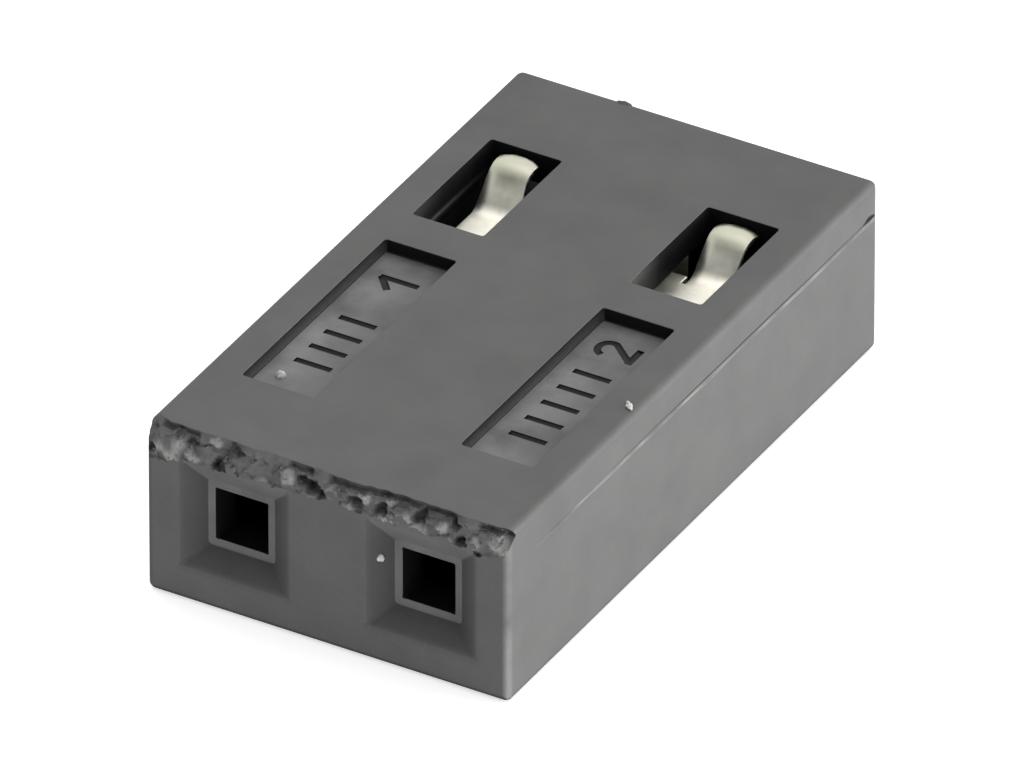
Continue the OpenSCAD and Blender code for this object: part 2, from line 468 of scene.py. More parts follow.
def roundedBlock():
    bm = bmesh.new()
    bmesh.ops.create_cube(bm, size=1)
    for vert in bm.verts:
        vert.co = (vert.co.x * 2 * halfWidth, vert.co.y * 2 * backY, (vert.co.z + 0.5) * topZ)
    bmesh.ops.bevel(bm, geom=bm.edges[:], offset=housing["edgeRadius"], segments=housing["edgeSegments"],
                    profile=0.5, affect="EDGES", clamp_overlap=False)
    mesh = bpy.data.meshes.new("housing_shell")
    bm.to_mesh(mesh)
    bm.free()
    return makeObject("housing_shell", mesh, plastic)


# Unevenness along a side, from -1 to 1, for a wave given as turns per mm and a seed
def sideNoise(side, y, swing):
    often, seed = swing
    return noise.noise(Vector((y * often, side, seed)))


# Parting line that the mould leaves along a side: the lower half stands a little proud of the upper one
ridge = {
    "steps": 120,
    "sunk": 0.02,
    "foot": -0.14,
    "crest": (-0.046, -0.034),
    "height": 0.72,
    "heightSwing": 0.4,
    "heightWave": (1.7, 4.2),
    "fadeIn": (-4.2, -3.4),
    "liftSwing": 0.006,
    "liftWave": (0.9, 9.1),
}


def seamRidge(side):
    r = ridge
    level = topZ - housing["seamDrop"]
    first = frontY + housing["edgeRadius"]
    loops = []
    for k in range(r["steps"] + 1):
        y = first - 2 * first * k / r["steps"]
        height = housing["seamProud"] * (r["height"] + r["heightSwing"] * sideNoise(side, y, r["heightWave"]))
        height *= ramp(y, *r["fadeIn"])
        z = level + r["liftSwing"] * sideNoise(side, y, r["liftWave"])
        profile = [(-r["sunk"], r["foot"]), *((height, up) for up in r["crest"]), (-r["sunk"], 0.0)]
        loops.append([(side * (halfWidth + out), y, z + up) for out, up in profile])
    return makeObject("seam", loft("seam", loops), plastic)


# Groove above the parting line, deeper towards the back and widened into a notch at its end
groove = {
    "start": -2.0,
    "endGap": 0.1,
    "steps": 90,
    "mouth": 0.05,
    "taper": 0.6,
    "leastDepth": 0.003,
    "depth": 0.009,
    "depthSpan": (-1.6, 0.5),
    "shallow": 0.8,
    "shallowSpan": (1.8, 3.2),
    "uneven": 0.8,
    "unevenSwing": 0.5,
    "unevenWave": (2.1, 6.0),
    "half": 0.008,
    "halfMore": 0.006,
    "halfSpan": (-1.6, 1.5),
    "lift": 0.006,
    "liftSwing": 0.004,
    "liftWave": (1.3, 2.4),
    "notchGap": 0.22,
    "notchLength": 0.09,
    "notchDepth": 0.045,
    "notchHalf": 0.04,
    "notchLift": 0.02,
}


def seamGroove(side):
    g = groove
    level = topZ - housing["seamDrop"]
    first, last = g["start"], backY - g["endGap"]
    loops = []
    for k in range(g["steps"] + 1):
        y = first + (last - first) * k / g["steps"]
        notch = math.exp(-((y - backY + g["notchGap"]) / g["notchLength"]) ** 2)
        uneven = g["uneven"] + g["unevenSwing"] * sideNoise(side, y, g["unevenWave"])
        deeper = g["depth"] * ramp(y, *g["depthSpan"]) * (1 - g["shallow"] * ramp(y, *g["shallowSpan"]))
        depth = g["leastDepth"] + deeper * uneven + g["notchDepth"] * notch
        half = g["half"] + g["halfMore"] * ramp(y, *g["halfSpan"]) + g["notchHalf"] * notch
        narrow = half * g["taper"]
        z = level + g["lift"] + g["notchLift"] * notch + g["liftSwing"] * sideNoise(side, y, g["liftWave"])
        profile = ((-depth, -narrow), (-depth, narrow), (g["mouth"], half), (g["mouth"], -half))
        loops.append([(side * (halfWidth + out), y, z + up) for out, up in profile])
    return makeObject("groove", loft("groove", loops), plastic)


# Broken stub of the mould's gate on the top back edge
gate = {
    "place": -1.0,
    "width": 0.17,
    "radius": 0.08,
    "sink": 0.06,
    "rings": 12,
    "sides": 20,
    "endShare": 0.7,
    "swell": 0.3,
    "endTrim": 0.06,
    "plump": 0.95,
    "lumps": 0.1,
    "lumpsAlong": 4,
}


def gateStub():
    g = gate
    y, z = backY - g["sink"], topZ - g["sink"]
    loops = []
    for k in range(g["rings"] + 1):
        t = k / g["rings"]
        inside = min(max(t, g["endTrim"]), 1 - g["endTrim"])
        swell = g["endShare"] + g["swell"] * math.sin(math.pi * inside) ** 0.5
        loop = []
        for i in range(g["sides"]):
            a = 2 * math.pi * i / g["sides"]
            lump = noise.noise(Vector((t * g["lumpsAlong"], math.cos(a), math.sin(a))))
            r = g["radius"] * swell * (g["plump"] + g["lumps"] * lump)
            loop.append((g["place"] + (t - 0.5) * g["width"], y + r * math.cos(a), z + r * math.sin(a)))
        loops.append(loop)
    return makeObject("gate", loft("gate", loops), plastic)


# Cutters reach past the block, and widen a hair outside its faces so that their mouths are eased
cutters = {
    "reach": 0.3,
    "hair": 0.001,
    "leastCorner": 0.004,
    "floorInset": 0.1,
    "padInsets": (0.4, 0.3, 0.2),
    "windowSink": 0.1,
    "wallLevels": 6,
    "levelPitch": 0.02,
    "entryOverlap": 0.2,
    "mouthSpread": 0.2,
    "mouthReach": 0.4,
}


# Cutter that follows a path of (depth, growth) from its floor to its mouth
def well(name, width, height, corner, path, place, stretch=1.0):
    loops = []
    for depth, grow in path:
        radius = max(corner + min(grow, 0), cutters["leastCorner"])
        flat = roundRect(width + 2 * grow, height + 2 * grow * stretch, radius)
        loops.append([place(u, v, depth) for u, v in flat])
    return makeObject(name, loft(name, loops), plastic)


# Cutters that open upwards, such as windows and pads. Insets add loops to the floor and levels add loops to
# the walls, so that the painted light on the pad floors and the pale flash on the window walls can fade there
def roofWell(name, side, start, end, floor, cornerEase, insets=(), levels=()):
    rim, high = housing["rim"], topZ + cutters["reach"]
    path = easedPath([(floor, -cutters["floorInset"]), (floor, 0), (topZ, 0),
                      (topZ + cutters["hair"], rim * 2), (high, rim * 2)], [cornerEase, rim, 0.0])
    path = [Vector((floor, -inset)) for inset in insets] + path
    path = sorted(path + [Vector((level, 0)) for level in levels], key=lambda place: place.x)
    middle = (start + end) / 2
    return well(name, housing["laneWidth"], end - start, housing["laneCorner"], path,
                lambda u, v, w: (side * laneX + u, middle + v, w))


def pinEntry(side):
    hole = housing["entrySide"]
    spread = (housing["funnelWidth"] - hole) / 2
    stretch = (housing["funnelHeight"] - hole) / 2 / spread
    deep = -housing["funnelDepth"]
    mouth = spread + cutters["mouthSpread"]
    inside = -housing["frontWall"] - cutters["entryOverlap"]
    path = easedPath([(inside, 0), (deep, 0), (deep, housing["land"]), (0, spread),
                      (2 * cutters["hair"], mouth), (cutters["mouthReach"], mouth)], housing["entryEases"])
    return well("entry", hole, hole, housing["entryCorner"], path,
                lambda u, v, w: (side * pinX + u, frontY - w, pinZ + v), stretch)


# Cutters that open at the back, with a small lead-in
def backWell(name, x, width, low, high, front, corner):
    ease, far = housing["leadIn"], backY + cutters["reach"]
    path = easedPath([(front, 0), (backY, 0), (backY + cutters["hair"], ease * 2), (far, ease * 2)],
                     [ease, 0.0])
    return well(name, width, high - low, corner, path, lambda u, v, w: (x + u, w, (low + high) / 2 + v))


# The upper front edge is torn off. Places along it are given as x and as the drop below the top face,
# waves as share, size and seed, and the profile as shares of the depth or of the crack under the rim
tornEdge = {
    "depth": 0.125,
    "depthSwing": 0.04,
    "depthWaves": ((1.0, 0.5, 1.0), (0.6, 0.13, 2.0)),
    "cornerDepth": 0.1,
    "cornerWidth": 0.3,
    "feet": ((-2.7, 0.5), (-2.24, 0.53), (-2.03, 0.48), (-1.78, 0.46), (-1.48, 0.47), (-1.18, 0.43),
             (-0.85, 0.44), (-0.6, 0.36), (-0.42, 0.37), (-0.15, 0.42), (0.05, 0.34), (0.29, 0.43),
             (0.5, 0.37), (0.67, 0.44), (1.0, 0.37), (1.28, 0.4), (1.48, 0.33), (1.65, 0.42),
             (2.03, 0.44), (2.3, 0.36), (2.7, 0.3)),
    "footSwing": 0.05,
    "footWaves": ((0.6, 0.16, 3.0), (0.5, 0.07, 4.0)),
    "crackDepth": 0.055,
    "crackShare": 0.8,
    "crackWaves": ((0.5, 0.2, 5.0),),
    "crackSpans": ((-2.35, -1.75), (-0.62, -0.2), (-0.05, 1.75), (1.97, 2.6)),
    "crackEnd": 0.08,
    "rim": ((0.0, 0.0, 0.0), (0.5, 0.015, 0.03), (1.0, 0.04, 0.075)),  # share of crack, ease, drop
    "slope": ((0.72, 0.13), (0.5, 0.19)),  # share of depth, drop
    "toe": ((0.3, 0.1), (0.12, 0.035)),  # share of depth, height above the foot
    "lip": 0.01,
    "lipFall": 0.02,
    "overhang": 0.25,
    "profileSteps": 5,
    "reliefSpan": (0.03, 0.1),
    "footCalm": 0.6,
    "footCalmHeight": 0.06,
    "pushOut": 0.85,
    "pushUp": 0.4,
    "shards": ((0.26, 0.06), (0.12, 0.028)),  # size, height
    "shardSquash": 1.2,
    "shardTilt": 0.9,
    "tiltSpread": 2.3,
    "heightSpread": 3.7,
    "grit": 0.012,
    "gritSize": 0.05,
    "gritSeed": 2.0,
    "chunkHeight": 0.045,
    "chunks": ((-2.3, 0.34, 0.08), (-2.06, 0.26, 0.1), (-2.14, 0.4, 0.1), (-1.87, 0.33, 0.08),
               (-1.77, 0.46, 0.07), (-1.56, 0.08, 0.07), (-0.89, 0.4, 0.1), (-0.55, 0.2, 0.09),
               (-0.18, 0.38, 0.09), (0.05, 0.21, 0.08), (0.26, 0.37, 0.1), (0.49, 0.15, 0.07),
               (0.68, 0.4, 0.09), (0.81, 0.33, 0.09), (0.81, 0.12, 0.06), (1.02, 0.25, 0.1),
               (1.23, 0.36, 0.11), (1.53, 0.22, 0.08), (1.61, 0.36, 0.08), (1.96, 0.29, 0.08),
               (2.29, 0.2, 0.14)),  # x, drop, radius
    "pits": ((-2.39, 0.36, 0.07, 0.05), (-1.87, 0.16, 0.07, 0.06), (-1.48, 0.33, 0.1, 0.08),
             (-1.27, 0.08, 0.08, 0.05), (-0.36, 0.19, 0.08, 0.13), (-0.25, 0.22, 0.085, 0.15),
             (-0.1, 0.27, 0.075, 0.1), (0.35, 0.22, 0.08, 0.09), (0.7, 0.24, 0.08, 0.08),
             (1.23, 0.18, 0.09, 0.06), (1.7, 0.14, 0.07, 0.06), (1.8, 0.32, 0.07, 0.07),
             (2.02, 0.42, 0.08, 0.06)),  # x, drop, radius, depth
    "spotStretch": 0.75,
    "raggedSize": 0.07,
    "raggedShift": 0.045,
    "raggedSeed": 1.7,
    "meshStep": 0.02,
    "seed": 7.3,
}


def tornWave(x, waves):
    return sum(share * noise.noise(Vector((x / size, seed, tornEdge["seed"]))) for share, size, seed in waves)


# Value at x along a row of (x, value) places, eased between them
def along(places, x):
    for (x0, v0), (x1, v1) in zip(places, places[1:]):
        if x <= x1:
            return v0 + (v1 - v0) * ramp(x, x0, x1)
    return places[-1][1]


# How far the rim is undercut at a place along it, from 0 to 1
def cracked(x):
    end = tornEdge["crackEnd"]
    return max(ramp(x, a, a + end) * (1 - ramp(x, b - end, b)) for a, b in tornEdge["crackSpans"])


# How near a place is to the middle of the nearest of some ragged spots: 1 at the middle, 0 outside
def nearness(spots, x, drop):
    edge = tornEdge
    place = Vector((x / edge["raggedSize"], drop / edge["raggedSize"], edge["raggedSeed"]))
    shift = noise.noise_vector(place) * edge["raggedShift"]
    x, drop = x + shift.x, drop + shift.y
    apart = [(edge["spotStretch"] * (x - spot[0])) ** 2 + (drop - spot[1]) ** 2 for spot in spots]
    return max(0.0, *(1 - square / spot[2] ** 2 for square, spot in zip(apart, spots)))


# How far the broken face stands out at a place: tilted shards of two sizes, then chunks, pits and grit
def tornRelief(x, drop):
    edge = tornEdge
    grit = Vector((x / edge["gritSize"], drop / edge["gritSize"], edge["gritSeed"]))
    push = edge["grit"] * noise.noise(grit)
    for size, height in edge["shards"]:
        place = Vector((x / size, edge["shardSquash"] * drop / size, edge["seed"] + size))
        middle = noise.voronoi(place)[1][0]
        tilt = noise.noise_vector(middle * edge["tiltSpread"])
        level = noise.noise(middle * edge["heightSpread"])
        push += height * (level + edge["shardTilt"] * tilt.dot(place - middle))
    push += edge["chunkHeight"] * nearness(edge["chunks"], x, drop)
    for pit in edge["pits"]:
        push -= pit[3] * nearness((pit,), x, drop)
    return push


# Corners of the broken face at x, as depth behind the front and drop below the top
def tornProfile(x):
    edge = tornEdge
    depth = edge["depth"] + edge["depthSwing"] * tornWave(x, edge["depthWaves"])
    depth += edge["cornerDepth"] * ramp(-x, halfWidth - edge["cornerWidth"], halfWidth)
    foot = along(edge["feet"], x) + edge["footSwing"] * tornWave(x, edge["footWaves"])
    undercut = cracked(x)
    crack = edge["crackDepth"] * undercut * (edge["crackShare"] + tornWave(x, edge["crackWaves"]))
    return [*((depth + share * crack - ease * (1 - undercut), low) for share, ease, low in edge["rim"]),
            *((depth * share, low) for share, low in edge["slope"]),
            *((depth * share, foot - up) for share, up in edge["toe"]), (-edge["lip"], foot)]


def tornCutter():
    edge = tornEdge
    reach, steps = halfWidth + edge["overhang"], edge["profileSteps"]
    outside, above = frontY - edge["overhang"], topZ + edge["overhang"]
    count = int(2 * reach / edge["meshStep"])
    loops = []
    for k in range(count + 1):
        x = -reach + 2 * reach * k / count
        profile = tornProfile(x)
        depth, foot = profile[0][0], profile[-1][1]
        loop = [(x, frontY + depth, above)]
        for (d0, h0), (d1, h1) in zip(profile, profile[1:]):
            for i in range(steps):
                d, h = d0 + (d1 - d0) * i / steps, h0 + (h1 - h0) * i / steps
                calm = 1 - edge["footCalm"] * ramp(h, foot - edge["footCalmHeight"], foot)
                push = tornRelief(x, h) * ramp(h, *edge["reliefSpan"]) * calm
                loop.append((x, frontY + d - edge["pushOut"] * push, topZ - h + edge["pushUp"] * push))
        loop += [(x, frontY - edge["lip"], topZ - foot), (x, outside, topZ - foot - edge["lipFall"]),
                 (x, outside, above)]
        loops.append(loop)
    return makeObject("torn", loft("torn", loops), torn)


# Plain position marks sunk into the pads: a numeral and a row of bars. Strokes are drawn as (across, up),
# where across runs along Y and up towards -X
bowl = [math.radians(170 - 21 * k) for k in range(10)]
padMarks = {
    "strokeRadius": 0.05,
    "strokeSides": 12,
    "sunk": 0.012,
    "height": 0.5,
    "width": 0.32,
    "numeralPlace": -0.52,
    "numerals": {
        -1: (((-0.64, 0.1), (0.1, 0.52)), ((0.08, 0.55), (0.08, -0.5))),
        1: ([(0.44 * math.cos(a), 0.24 + 0.26 * math.sin(a)) for a in bowl] + [(-0.46, -0.5)],
            ((-0.56, -0.48), (0.5, -0.48))),
    },
    "bar": ((0, 0.5), (0, -0.5)),
    "barPlaces": {-1: (-1.5, -1.85, -2.2, -2.55), 1: (-1.12, -1.5, -1.88, -2.26, -2.64)},
}


def strokeTree():
    group, given = newTree("sunkStrokes", {"Stroke Radius": "Float", "Sides": "Int"})
    profile = addNode(group, "GeometryNodeCurvePrimitiveCircle", {
        "Resolution": given["Sides"], "Radius": given["Stroke Radius"]}, mode="RADIUS")
    tube = addNode(group, "GeometryNodeCurveToMesh", {
        "Curve": given["Geometry"], "Profile Curve": profile.outputs["Curve"], "Fill Caps": True})
    return endTree(group, realised(group, tube.outputs["Mesh"]), given["Material"])


def padStrokes(side, group):
    marks = padMarks
    level = padFloor + marks["sunk"]
    paths = [(marks["numeralPlace"], path) for path in marks["numerals"][side]]
    paths += [(place, marks["bar"]) for place in marks["barPlaces"][side]]
    made = []
    for place, path in paths:
        curve = bpy.data.curves.new("stroke", "CURVE")
        curve.dimensions = "3D"
        spline = curve.splines.new("POLY")
        spline.points.add(len(path) - 1)
        for point, (across, up) in zip(spline.points, path):
            x, y = side * laneX - up * marks["height"], padEnd + place + across * marks["width"]
            point.co = (x, y, level, 1)
        stroke = makeObject("stroke", curve)
        addTree(stroke, group, {
            "Stroke Radius": marks["strokeRadius"], "Sides": marks["strokeSides"], "Material": plastic})
        stroke = settle(stroke)
        cleanMesh(stroke.data)
        made.append(stroke)
    return made


# Painted shade in recesses, paler tones for wear, painted highlights and painted light, and whitening of
# breaks, by place, from 0 to 1. Gaps, bands and fades are in mm, and upright, sideways, flat and overhead are
# limits for a face's normal
shadeLightAndWearSet = {
    "slack": 0.01,
    "laneSlack": 0.015,
    "rimSlack": 0.004,
    "edgeSlack": 1e-4,
    "upright": 0.6,
    "sideways": 0.5,
    "flat": 0.97,
    "overhead": -0.3,
    "strokeDepth": 0.1,
    "landStart": 0.94,
    "seamBand": 0.1,
    "seamSideGap": 0.003,
    "seamEndGap": 0.002,
    "seamProudGap": 0.0005,
    "ridgeBand": 0.05,
    "wallCuts": 5,
    "wallCutPitch": 0.18,
    # Painted shade on the ends of the pads, the sunk marks, the windows and the pin entries
    "faceShade": {"pad end": 0.92, "pad mark": 0.68, "window": 0.97, "entry": 0.99},
    # Lands and funnel roofs are paler, painted light
    "pale": {"land": 0.26, "funnel roof": 0.12},
    # Painted shade in the pits and the crack of the broken edge, in the chambers and along the groove
    "pitShade": (1.25, 0.93),
    "crackShade": 0.6,
    "crackDrop": (0.012, 0.1),
    "chamberShade": 0.97,
    "chamberFade": 1.0,
    "grooveShade": (0.05, 0.35),
    "grooveFade": (0.4, 0.25),
    # The ridge is paler in patches, a painted highlight along the parting line with some pale flash
    "ridgeFade": (-4.1, -3.2),
    "ridgePale": (0.62, 0.8),
    "ridgeWave": (3.1, 5.5),
    # Painted shade on the bottom edges and the front left edges, and a darker top back edge
    "lowShade": 1.0,
    "frontLeftShade": 0.5,
    "rearDark": 0.4,
    "shadeGain": 1.6,
    # Edges are paler, partly from wear and partly as a painted highlight
    "paleEdgeGain": 1.5,
    # Pad floors are paler near their left wall, painted light against the shade there
    "padPale": (0.42, 0.58),
    "padPaleSpan": (0.05, 0.75),
    # Painted shade on the pad walls, darker towards the top
    "padWallShade": (0.4, 0.52),
    "padWallRim": 0.02,
    # Painted shade in the funnels, deeper towards the hole
    "funnelShade": 0.48,
    "funnelSpan": (-0.03, 0.5),
    # Painted shade on the window walls, darker towards the back
    "windowShade": {-1: (0.68, 0.29), 1: (0.1, 0.87)},
    "windowFade": (-0.1, 0.85),
    "flashPlace": 0.06,
    "flashHalf": 0.05,
    "flashFade": (0.5, 1.5),
    "freshGain": 1.2,
    "freshLeast": 0.1,
}


def inRoofWell(point, start, end, floor):
    slack = shadeLightAndWearSet["laneSlack"]
    inLane = abs(abs(point.x) - laneX) < housing["laneWidth"] / 2 + slack
    return inLane and start - slack < point.y < end + slack and floor < point.z < topZ - shadeLightAndWearSet["rimSlack"]


def inWindow(point):
    return inRoofWell(point, windowStart, windowEnd, chamberTop - shadeLightAndWearSet["slack"])


# Splits the long window walls, so that their painted shade can fade towards the front
def splitWalls(mesh):
    bm = bmesh.new()
    bm.from_mesh(mesh)
    for k in range(1, shadeLightAndWearSet["wallCuts"] + 1):
        walls = [face for face in bm.faces if abs(face.normal.x) > shadeLightAndWearSet["sideways"] and
                 inWindow(face.calc_center_median())]
        edges = {edge for wall in walls for edge in wall.edges}
        corners = {vert for wall in walls for vert in wall.verts}
        bmesh.ops.bisect_plane(bm, geom=[*walls, *edges, *corners], plane_no=(0, 1, 0),
                               plane_co=(0, windowStart + shadeLightAndWearSet["wallCutPitch"] * k, 0))
    bm.to_mesh(mesh)
    bm.free()


# Name of the place on the housing that a face belongs to
def placeOf(face):
    w, h = shadeLightAndWearSet, housing
    middle, normal = face.center, face.normal
    slack = w["slack"]
    drop, behind, outward = topZ - middle.z, middle.y - frontY, abs(middle.x)
    fromPin, fromPinZ = abs(outward - pinX), abs(middle.z - pinZ)
    sideways = abs(normal.x) > w["sideways"]
    halfEntry = h["entrySide"] / 2 + slack
    if inRoofWell(middle, padStart, padEnd, padFloor - w["strokeDepth"]):
        if normal.z > w["flat"] and middle.z > padFloor - w["rimSlack"]:
            return "pad floor"
        if sideways and middle.z > padFloor + slack:
            return "pad wall"
        return "pad end" if abs(normal.z) < w["upright"] else "pad mark"
    if inWindow(middle):
        return "window wall" if sideways else "window"
    if behind < h["frontWall"] + slack and fromPin < halfEntry and fromPinZ < halfEntry:
        return "entry"
    inFunnel = fromPin < h["funnelWidth"] / 2 and fromPinZ < h["funnelHeight"] / 2
    if inFunnel and slack < behind < h["funnelDepth"] + slack:
        if behind / h["funnelDepth"] > w["landStart"]:
            return "land"
        return "funnel roof" if normal.z < w["overhead"] else "funnel"
    inChamber = chamberFloor - slack < middle.z < chamberTop + slack and behind > h["frontWall"] - slack
    if inChamber and fromPin < h["chamberWidth"] / 2 + slack:
        return "chamber"
    inSide = halfWidth - w["seamBand"] < outward < halfWidth - w["seamSideGap"]
    betweenEnds = abs(middle.y) < backY - h["edgeRadius"] - w["seamEndGap"]
    if inSide and betweenEnds and abs(drop - h["seamDrop"]) < w["seamBand"]:
        return "groove"
    if outward > halfWidth + w["seamProudGap"] and 0 < drop - h["seamDrop"] < w["ridgeBand"]:
        return "ridge"
    return "outside"


# Painted shade of a whole face, and how much paler it is: painted light on lands and funnel roofs, and a
# painted highlight with some pale flash on the ridge
def faceShadeLightAndWear(place, middle):
    w = shadeLightAndWearSet
    faceShade, pale = w["faceShade"].get(place, 0.0), w["pale"].get(place, 0.0)
    # Painted shade in the pits and in the crack under the rim
    if place == "torn":
        drop = topZ - middle.z
        gain, most = w["pitShade"]
        faceShade = min(gain * nearness(tornEdge["pits"], middle.x, drop), most)
        if w["crackDrop"][0] < drop < w["crackDrop"][1]:
            faceShade = max(faceShade, w["crackShade"] * cracked(middle.x))
    # Painted shade in the chambers, fading out towards the back
    elif place == "chamber":
        faceShade = w["chamberShade"] * (1 - ramp(middle.y, backY - w["chamberFade"], backY))
    # Painted shade in the groove, darker towards the back
    elif place == "groove":
        least, more = w["grooveShade"]
        faceShade = least + more * ramp(middle.y, *(backY - gap for gap in w["grooveFade"]))
    # The ridge is paler in patches: a painted highlight, with some pale flash
    elif place == "ridge":
        level, swing = w["ridgePale"]
        patchy = max(0.0, level + swing * sideNoise(1, middle.y, w["ridgeWave"]))
        pale = ramp(middle.y, *w["ridgeFade"]) * patchy
    return faceShade, pale


# At a point of an outer edge: painted shade on the bottom and front left edges, a darker top back edge, and a
# paler tone on the other edges that is partly wear and partly a painted highlight
def edgeShadeLightAndWear(point):
    w, radius = shadeLightAndWearSet, housing["edgeRadius"]
    fromMiddle = (point.x, point.y, point.z - topZ / 2)
    nearest, depth = sorted(span - abs(value) for span, value in zip(halfSpan, fromMiddle))[:2]
    onEdge = max(0.0, 1 - depth / radius) if nearest < radius else 0.0
    low = depth > point.z - w["edgeSlack"]
    high = depth > topZ - point.z - w["edgeSlack"]
    shaded = point.x < 0 and point.y < 0 and not high
    toneShift = 0.0 if low or high or shaded else min(w["paleEdgeGain"] * onEdge, 1.0)
    # Painted shade on the bottom and front left edges, and a darker top back edge
    shadeLevel = w["rearDark"] if high and point.y > backY - radius else 0.0
    shadeLevel = w["lowShade"] if low else w["frontLeftShade"] if shaded else shadeLevel
    return shadeLevel * min(w["shadeGain"] * onEdge, 1.0), toneShift


# Painted shade and paler tone at one corner of a face, the paler tone being partly wear and partly painted
# light
def cornerShadeLightAndWear(place, point, faceShade, pale):
    w = shadeLightAndWearSet
    shadeLevel, toneShift = edgeShadeLightAndWear(point)
    # Pad floors are paler near their left wall, painted light against the shade there
    if place == "pad floor":
        fromWall = point.x - math.copysign(laneX, point.x) + housing["laneWidth"] / 2
        least, more = w["padPale"]
        pale = least + more * (1 - ramp(fromWall, *w["padPaleSpan"]))
    # Funnels get painted shade that deepens towards the hole
    elif place == "funnel":
        start, share = w["funnelSpan"]
        shadeLevel = w["funnelShade"] * ramp(point.y - frontY, start, share * housing["funnelDepth"])
    shadeLevel = max(faceShade, shadeLevel)
    # Pad walls get painted shade, darker towards the top
    if place == "pad wall":
        least, more = w["padWallShade"]
        shadeLevel = least + more * ramp(point.z, padFloor, topZ - w["padWallRim"])
    # Window walls get painted shade, darker towards the back
    elif place == "window wall":
        least, more = w["windowShade"][1 if point.x > 0 else -1]
        shadeLevel = least + more * ramp(point.y, *(windowStart + gap for gap in w["windowFade"]))
        if point.x < 0:
            # Pale flash along the lower edge of the roof
            toneShift = max(0.0, 1 - abs(point.z - chamberTop - w["flashPlace"]) / w["flashHalf"])
            toneShift *= 1 - ramp(point.y, *(windowStart + gap for gap in w["flashFade"]))
            shadeLevel *= 1 - toneShift
    return shadeLevel, 0.0 if place == "torn" else max(pale, toneShift)


# How much painted shade a place gets, how much paler it is from wear and painted light, and how fresh a break
# is, stored on the face corners
def markShadeLightAndWear(mesh):
    names = ("paintedShade", "wearAndPaintedLight", "fresh")
    for name in names:
        mesh.attributes.new(name, "FLOAT", "CORNER")
    paintedShade, wearAndPaintedLight, fresh = [mesh.attributes[name] for name in names]
    tornIndex = mesh.materials.find(torn.name)
    for face in mesh.polygons:
        place = "torn" if face.material_index == tornIndex else placeOf(face)
        faceShade, pale = faceShadeLightAndWear(place, face.center)
        for corner in face.loop_indices:
            point = mesh.vertices[mesh.loops[corner].vertex_index].co
            paintedShade.data[corner].value, wearAndPaintedLight.data[corner].value = cornerShadeLightAndWear(place, point, faceShade, pale)
            if place == "torn":
                whitened = shadeLightAndWearSet["freshGain"] * nearness(tornEdge["chunks"], point.x, topZ - point.z)
                fresh.data[corner].value = min(whitened + shadeLightAndWearSet["freshLeast"], 1.0)


# Chips that cling to the broken face, scattered where it is fresh
flakes = {
    "density": 70.0,
    "size": 0.02,
    "seed": 5,
    "leastSpread": (0.5, 0.4, 0.3),
    "mostSpread": (1.5, 1.0, 0.7),
    "turn": 3.1,
}


def flakeTree():
    f = flakes
    group, given = newTree("tornFlakes", {"Density": "Float", "Size": "Float", "Seed": "Int"})
    fresh = addNode(group, "GeometryNodeInputNamedAttribute", {"Name": "fresh"}, data_type="FLOAT")
    spots = addNode(group, "GeometryNodeDistributePointsOnFaces", {
        "Mesh": given["Geometry"], "Seed": given["Seed"],
        "Density": calculate(group, "MULTIPLY", fresh.outputs["Attribute"], given["Density"])})
    flake = addNode(group, "GeometryNodeMeshIcoSphere", {"Radius": given["Size"], "Subdivisions": 1})
    spread = addNode(group, "FunctionNodeRandomValue", {
        "Min": f["leastSpread"], "Max": f["mostSpread"], "Seed": given["Seed"]}, data_type="FLOAT_VECTOR")
    turn = addNode(group, "FunctionNodeRandomValue", {
        "Min": (-f["turn"],) * 3, "Max": (f["turn"],) * 3, "Seed": given["Seed"]}, data_type="FLOAT_VECTOR")
    placed = addNode(group, "GeometryNodeInstanceOnPoints", {
        "Points": spots.outputs["Points"], "Instance": flake.outputs["Mesh"],
        "Rotation": turn.outputs["Value"], "Scale": spread.outputs["Value"]})
    return endTree(group, realised(group, placed.outputs["Instances"]), given["Material"])


def buildFlakes(shell):
    mesh = shell.data.copy()
    tornIndex = mesh.materials.find(torn.name)
    bm = bmesh.new()
    bm.from_mesh(mesh)
    bmesh.ops.delete(bm, geom=[f for f in bm.faces if f.material_index != tornIndex], context="FACES")
    bm.to_mesh(mesh)
    bm.free()
    chips = makeObject("torn_flakes", mesh)
    addTree(chips, flakeTree(), {
        "Density": flakes["density"], "Size": flakes["size"], "Seed": flakes["seed"], "Material": chip})
    settle(chips)
    return chips


# Loose specks that lie on the part, each with its place, its half sizes and its turn about Z in degrees
specks = {
    "grains": (
        ((2.32, -1.32, 2.39), (0.034, 0.11, 0.022), 43),
        ((-1.7, -2.58, 2.21), (0.065, 0.055, 0.055), 0),
        ((0.67, -4.32, 1.43), (0.05, 0.038, 0.05), 0),
    ),
    "subdivisions": 4,
    "roughness": 0.06,
    "lumpSize": 0.06,
    "lumpDetail": 2.0,
}


